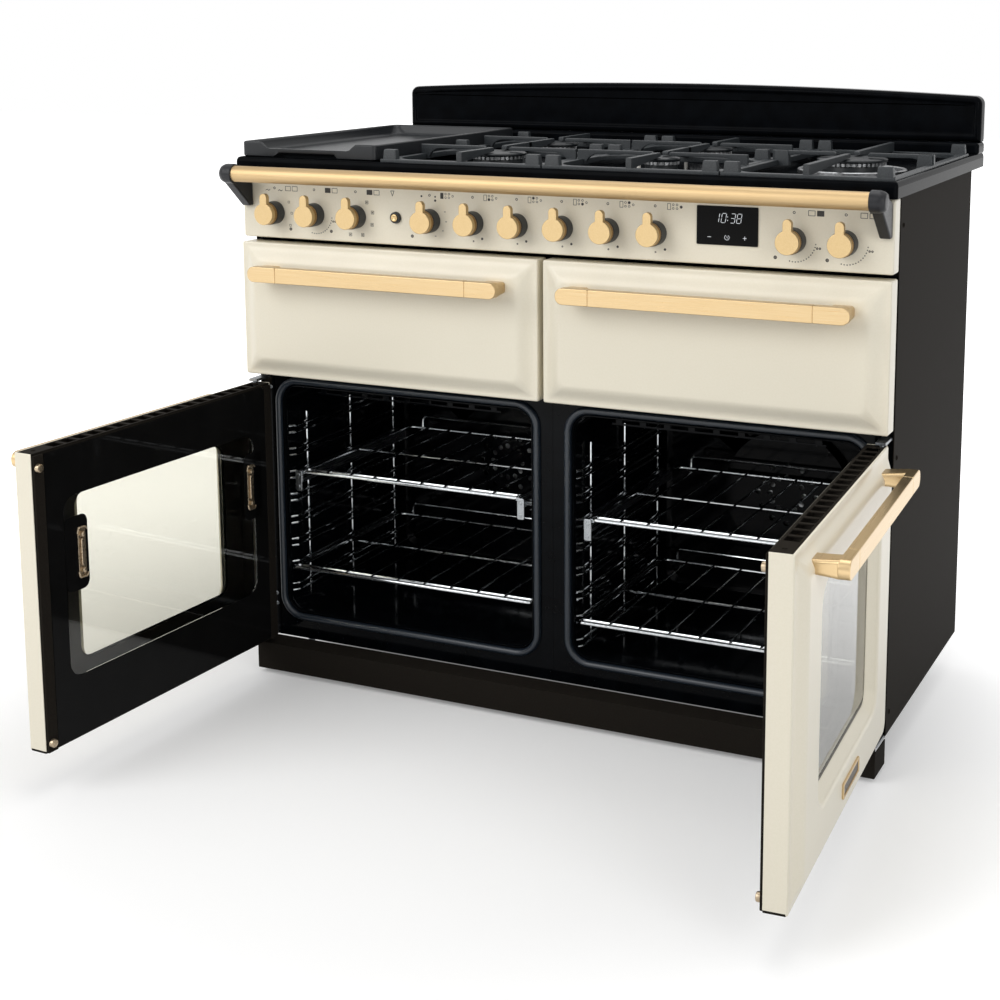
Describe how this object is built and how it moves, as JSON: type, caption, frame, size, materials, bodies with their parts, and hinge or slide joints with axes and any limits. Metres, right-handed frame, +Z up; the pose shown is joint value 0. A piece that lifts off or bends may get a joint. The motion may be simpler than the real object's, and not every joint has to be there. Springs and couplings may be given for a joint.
{
  "type": "range cooker with double oven",
  "caption": "Wide free-standing range cooker with twin side-hinged ovens, drop-down grill door, storage drawer, gas hob with griddle, knob panel, handrail and back guard.",
  "frame": {"origin": "floor level on the middle plane of the cooker, directly under the front face of the plinth", "axes": "+X to the right as seen from the front, +Y from the doors towards the wall, +Z up"},
  "size_m": [1.2446, 1.1201, 0.9939],
  "materials": {
    "cream_enamel": "gloss enamel",
    "satin_black": "satin paint",
    "black_enamel": "gloss enamel",
    "seal_rubber": "satin",
    "chrome_wire": "bright",
    "fan_steel": "plain",
    "burner_iron": "matt enamel",
    "griddle_iron": "matt coating",
    "cast_iron": "matt enamel",
    "display_glass": "gloss",
    "dark_bezel": "satin",
    "satin_brass": "brushed",
    "bracket_grey": "satin",
    "zinc_steel": "plain",
    "roller_plastic": "matt",
    "door_glass": "gloss",
    "button_plastic": "satin"
  },
  "bodies": {
    "cooker": {"side_panels": "satin_black", "back_and_base": "satin_black", "front_frame": "black_enamel", "left_oven_cavity": "black_enamel", "right_oven_cavity": "black_enamel", "upper_compartments": "black_enamel", "oven_seals": "seal_rubber", "shelf_ladders": "chrome_wire", "fan_covers": "black_enamel", "hob_tray": "black_enamel", "back_guard": "black_enamel", "burners": "burner_iron", "griddle_plate": "griddle_iron", "left_pan_support": "cast_iron", "centre_pan_support": "cast_iron", "right_pan_support": "cast_iron", "control_panel": "cream_enamel", "display_panel": "display_glass", "knob_bezels": "dark_bezel", "handrail": "satin_brass", "handrail_brackets": "bracket_grey", "plinth": "satin_black", "feet_and_brackets": "zinc_steel", "hinge_brackets": "zinc_steel", "gas_and_mains_inlets": "satin_brass"},
    "left_door": {"left_door_skin": "cream_enamel", "left_door_panes": "door_glass", "left_door_frame": "satin_black", "left_door_handle": "satin_brass", "left_door_clips": "chrome_wire"},
    "right_door": {"right_door_skin": "cream_enamel", "right_door_panes": "door_glass", "right_door_frame": "satin_black", "right_door_handle": "satin_brass", "right_door_clips": "chrome_wire"},
    "grill_door": {"grill_door_skin": "cream_enamel", "grill_door_liner": "black_enamel", "grill_door_handle": "satin_brass"},
    "drawer": {"drawer_front": "cream_enamel", "drawer_box": "zinc_steel", "drawer_handle": "satin_brass"},
    "left_fan": {"left_oven_fan": "fan_steel"},
    "right_fan": {"right_oven_fan": "fan_steel"},
    "rollers": {"rear_rollers": "roller_plastic"},
    "light_switch": {"light_button": "button_plastic"},
    "left_upper_rack": {"left_upper_shelf": "chrome_wire"},
    "left_lower_rack": {"left_lower_shelf": "chrome_wire"},
    "right_upper_rack": {"right_upper_shelf": "chrome_wire"},
    "right_lower_rack": {"right_lower_shelf": "chrome_wire"},
    "left_selector_knob_body": {"left_selector_knob": "satin_brass"},
    "left_thermostat_knob_body": {"left_thermostat_knob": "satin_brass"},
    "grill_knob_body": {"grill_knob": "satin_brass"},
    "gas_knob_1_body": {"gas_knob_1": "satin_brass"},
    "gas_knob_2_body": {"gas_knob_2": "satin_brass"},
    "gas_knob_3_body": {"gas_knob_3": "satin_brass"},
    "gas_knob_4_body": {"gas_knob_4": "satin_brass"},
    "gas_knob_5_body": {"gas_knob_5": "satin_brass"},
    "gas_knob_6_body": {"gas_knob_6": "satin_brass"},
    "right_selector_knob_body": {"right_selector_knob": "satin_brass"},
    "right_thermostat_knob_body": {"right_thermostat_knob": "satin_brass"}
  },
  "joints": [
    {"name": "left_door_hinge", "type": "hinge", "parent": "cooker", "child": "left_door", "pos_m": [-0.535, 0.008, 0.285], "axis": [0, 0, -1], "range_deg": [-93, 7]},
    {"name": "right_door_hinge", "type": "hinge", "parent": "cooker", "child": "right_door", "pos_m": [0.535, 0.008, 0.285], "axis": [0, 0, 1], "range_deg": [-93, 7]},
    {"name": "grill_door_hinge", "type": "hinge", "parent": "cooker", "child": "grill_door", "pos_m": [-0.2747, 0.012, 0.536], "axis": [1, 0, 0], "range_deg": [0, 90]},
    {"name": "drawer_slide", "type": "slide", "parent": "cooker", "child": "drawer", "axis": [0, -1, 0], "range_m": [0, 0.3]},
    {"name": "left_upper_rack_slide", "type": "slide", "parent": "cooker", "child": "left_upper_rack", "axis": [0, -1, 0], "range_m": [0, 0.28]},
    {"name": "left_lower_rack_slide", "type": "slide", "parent": "cooker", "child": "left_lower_rack", "axis": [0, -1, 0], "range_m": [0, 0.28]},
    {"name": "right_upper_rack_slide", "type": "slide", "parent": "cooker", "child": "right_upper_rack", "axis": [0, -1, 0], "range_m": [0, 0.28]},
    {"name": "right_lower_rack_slide", "type": "slide", "parent": "cooker", "child": "right_lower_rack", "axis": [0, -1, 0], "range_m": [0, 0.28]},
    {"name": "left_selector_knob_turn", "type": "hinge", "parent": "cooker", "child": "left_selector_knob_body", "pos_m": [-0.483, -0.0235, 0.796], "axis": [0, 1, 0], "range_deg": [0, 300]},
    {"name": "left_thermostat_knob_turn", "type": "hinge", "parent": "cooker", "child": "left_thermostat_knob_body", "pos_m": [-0.407, -0.0235, 0.796], "axis": [0, 1, 0], "range_deg": [0, 270]},
    {"name": "grill_knob_turn", "type": "hinge", "parent": "cooker", "child": "grill_knob_body", "pos_m": [-0.329, -0.0235, 0.796], "axis": [0, 1, 0], "range_deg": [0, 270]},
    {"name": "gas_knob_1_turn", "type": "hinge", "parent": "cooker", "child": "gas_knob_1_body", "pos_m": [-0.194, -0.0235, 0.796], "axis": [0, 1, 0], "range_deg": [-210, 0]},
    {"name": "gas_knob_2_turn", "type": "hinge", "parent": "cooker", "child": "gas_knob_2_body", "pos_m": [-0.118, -0.0235, 0.796], "axis": [0, 1, 0], "range_deg": [-210, 0]},
    {"name": "gas_knob_3_turn", "type": "hinge", "parent": "cooker", "child": "gas_knob_3_body", "pos_m": [-0.042, -0.0235, 0.796], "axis": [0, 1, 0], "range_deg": [-210, 0]},
    {"name": "gas_knob_4_turn", "type": "hinge", "parent": "cooker", "child": "gas_knob_4_body", "pos_m": [0.034, -0.0235, 0.796], "axis": [0, 1, 0], "range_deg": [-210, 0]},
    {"name": "gas_knob_5_turn", "type": "hinge", "parent": "cooker", "child": "gas_knob_5_body", "pos_m": [0.11, -0.0235, 0.796], "axis": [0, 1, 0], "range_deg": [-210, 0]},
    {"name": "gas_knob_6_turn", "type": "hinge", "parent": "cooker", "child": "gas_knob_6_body", "pos_m": [0.186, -0.0235, 0.796], "axis": [0, 1, 0], "range_deg": [-210, 0]},
    {"name": "right_selector_knob_turn", "type": "hinge", "parent": "cooker", "child": "right_selector_knob_body", "pos_m": [0.399, -0.0235, 0.796], "axis": [0, 1, 0], "range_deg": [0, 300]},
    {"name": "right_thermostat_knob_turn", "type": "hinge", "parent": "cooker", "child": "right_thermostat_knob_body", "pos_m": [0.475, -0.0235, 0.796], "axis": [0, 1, 0], "range_deg": [0, 270]},
    {"name": "light_switch_press", "type": "slide", "parent": "cooker", "child": "light_switch", "axis": [0, 1, 0], "range_m": [0, 0.003], "stiffness_N_per_m": 300},
    {"name": "left_fan_spin", "type": "hinge", "parent": "cooker", "child": "left_fan", "pos_m": [-0.269, 0.434, 0.3], "axis": [0, 1, 0], "continuous": true},
    {"name": "right_fan_spin", "type": "hinge", "parent": "cooker", "child": "right_fan", "pos_m": [0.269, 0.434, 0.3], "axis": [0, 1, 0], "continuous": true},
    {"name": "rollers_spin", "type": "hinge", "parent": "cooker", "child": "rollers", "pos_m": [0, 0.47, 0.018], "axis": [1, 0, 0], "continuous": true}
  ]
}
